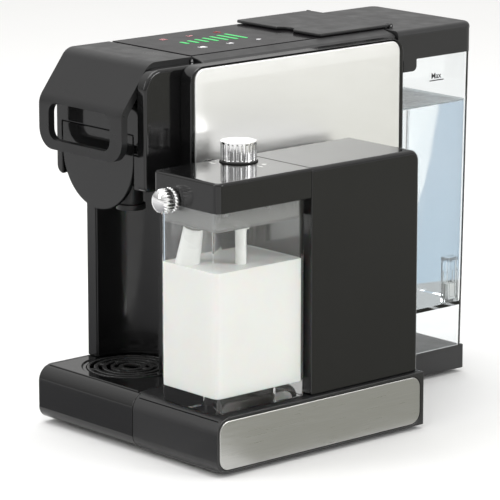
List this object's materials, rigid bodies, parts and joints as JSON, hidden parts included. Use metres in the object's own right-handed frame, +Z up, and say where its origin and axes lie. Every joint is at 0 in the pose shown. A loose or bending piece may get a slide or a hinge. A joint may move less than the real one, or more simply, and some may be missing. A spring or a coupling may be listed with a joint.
{
  "type": "pod coffee machine",
  "caption": "Upright pod coffee machine with a lift-up lever over a cup bay, touch controls on top, a clear water tank at the back and a clear milk jug at one side.",
  "frame": {"origin": "middle of the footprint at the floor", "axes": "+Z up, the lever and cup bay face -Y, the milk unit stands at +X"},
  "size_m": [0.206, 0.3536, 0.2789],
  "materials": {
    "satin_black": "satin moulded",
    "gloss_black": "high gloss",
    "lever_grey": "fine matte grain",
    "grey_plastic": "moulded",
    "brushed_panel": "fine brushed",
    "steel": "turned",
    "chrome": "polished",
    "rubber": "matt",
    "clear_plastic": "clear",
    "smoke_plastic": "smoked",
    "white_plastic": "smooth",
    "pump_white": "moulded",
    "cast_metal": "cast",
    "brass": "turned",
    "circuit_board": "coated board",
    "hose": "silicone",
    "green_light": "lit marks",
    "icon_light": "lit marks"
  },
  "bodies": {
    "machine": {"base_housing": "satin_black", "side_steel_panel": "brushed_panel", "base_bottom_plate": "grey_plastic", "rubber_feet": "rubber", "bottom_screws": "steel", "body_shell": "gloss_black", "cup_bay_liner": "gloss_black", "side_plate": "gloss_black", "side_panel_frame": "satin_black", "side_silver_panel": "brushed_panel", "top_cover": "satin_black", "touch_panel": "gloss_black", "strength_lights": "green_light", "touch_icons": "icon_light", "touch_board": "circuit_board", "head_front_plate": "gloss_black", "brew_block": "grey_plastic", "coffee_spout": "satin_black", "water_pump": "pump_white", "pump_mounts": "rubber", "boiler": "cast_metal", "flow_meter": "pump_white", "water_valve": "brass", "power_board": "circuit_board", "power_parts": "satin_black", "pressure_hose": "hose", "brew_hose": "hose", "tank_seat": "satin_black", "seat_seal": "rubber", "milk_tower": "gloss_black", "froth_pump": "grey_plastic", "milk_dock": "rubber"},
    "drip_tray": {"drip_tray_front": "gloss_black", "drip_tray_tub": "satin_black", "drip_deck": "gloss_black"},
    "grate": {"drip_grate": "satin_black"},
    "lever_arm": {"lever": "lever_grey", "lever_pin": "steel"},
    "drawer": {"pod_drawer_front": "gloss_black", "pod_drawer": "satin_black", "pod_adaptor": "grey_plastic"},
    "piston": {"brew_piston": "grey_plastic", "piston_seal": "rubber", "shower_plate": "steel"},
    "tank": {"water_tank": "clear_plastic", "tank_valve": "satin_black", "water_filter": "white_plastic", "float_guide": "clear_plastic"},
    "float": {"level_float": "satin_black"},
    "tank_cover": {"tank_lid": "lever_grey"},
    "flap": {"tank_flap": "lever_grey", "flap_pin": "steel"},
    "jug": {"milk_jug": "clear_plastic"},
    "jug_cover": {"milk_lid": "gloss_black", "lid_insert": "smoke_plastic", "siphon_tube": "white_plastic", "froth_nozzle": "white_plastic", "knob_ring": "rubber"},
    "froth_dial": {"top_knob": "chrome"},
    "clean_dial": {"front_knob": "chrome"}
  },
  "joints": [
    {"name": "lever_hinge", "type": "hinge", "parent": "machine", "child": "lever_arm", "pos_m": [-0.05, -0.0974, 0.2732], "axis": [-1, 0, 0], "range_deg": [0, 80]},
    {"name": "drawer_slide", "type": "slide", "parent": "machine", "child": "drawer", "axis": [0, -1, 0], "range_m": [0, 0.055]},
    {"name": "piston_slide", "type": "slide", "parent": "machine", "child": "piston", "axis": [0, 0, 1], "range_m": [0, 0.006]},
    {"name": "tray_slide", "type": "slide", "parent": "machine", "child": "drip_tray", "axis": [0, -1, 0], "range_m": [0, 0.09]},
    {"name": "grate_lift", "type": "slide", "parent": "drip_tray", "child": "grate", "axis": [0, 0, 1], "range_m": [0, 0.05]},
    {"name": "tank_lift", "type": "slide", "parent": "machine", "child": "tank", "axis": [0, 0, 1], "range_m": [0, 0.06]},
    {"name": "float_slide", "type": "slide", "parent": "tank", "child": "float", "axis": [0, 0, 1], "range_m": [0, 0.02]},
    {"name": "tank_cover_lift", "type": "slide", "parent": "tank", "child": "tank_cover", "axis": [0, 0, 1], "range_m": [0, 0.03]},
    {"name": "flap_hinge", "type": "hinge", "parent": "tank_cover", "child": "flap", "pos_m": [-0.054, 0.1038, 0.2773], "axis": [-1, 0, 0], "range_deg": [0, 100]},
    {"name": "jug_slide", "type": "slide", "parent": "machine", "child": "jug", "axis": [0, -1, 0], "range_m": [0, 0.1]},
    {"name": "jug_cover_lift", "type": "slide", "parent": "jug", "child": "jug_cover", "axis": [0, 0, 1], "range_m": [0, 0.13]},
    {"name": "froth_dial_turn", "type": "hinge", "parent": "jug_cover", "child": "froth_dial", "pos_m": [0.0463, -0.0964, 0.208], "axis": [0, 0, 1], "range_deg": [-135, 135]},
    {"name": "clean_dial_turn", "type": "hinge", "parent": "jug_cover", "child": "clean_dial", "pos_m": [0.0515, -0.1664, 0.1898], "axis": [0, -1, 0], "range_deg": [0, 90]}
  ],
  "couplings": [
    {"joint": "drawer_slide", "follows": "lever_hinge", "m_per_rad": 0.039391},
    {"joint": "piston_slide", "follows": "lever_hinge", "m_per_rad": 0.0042972}
  ]
}
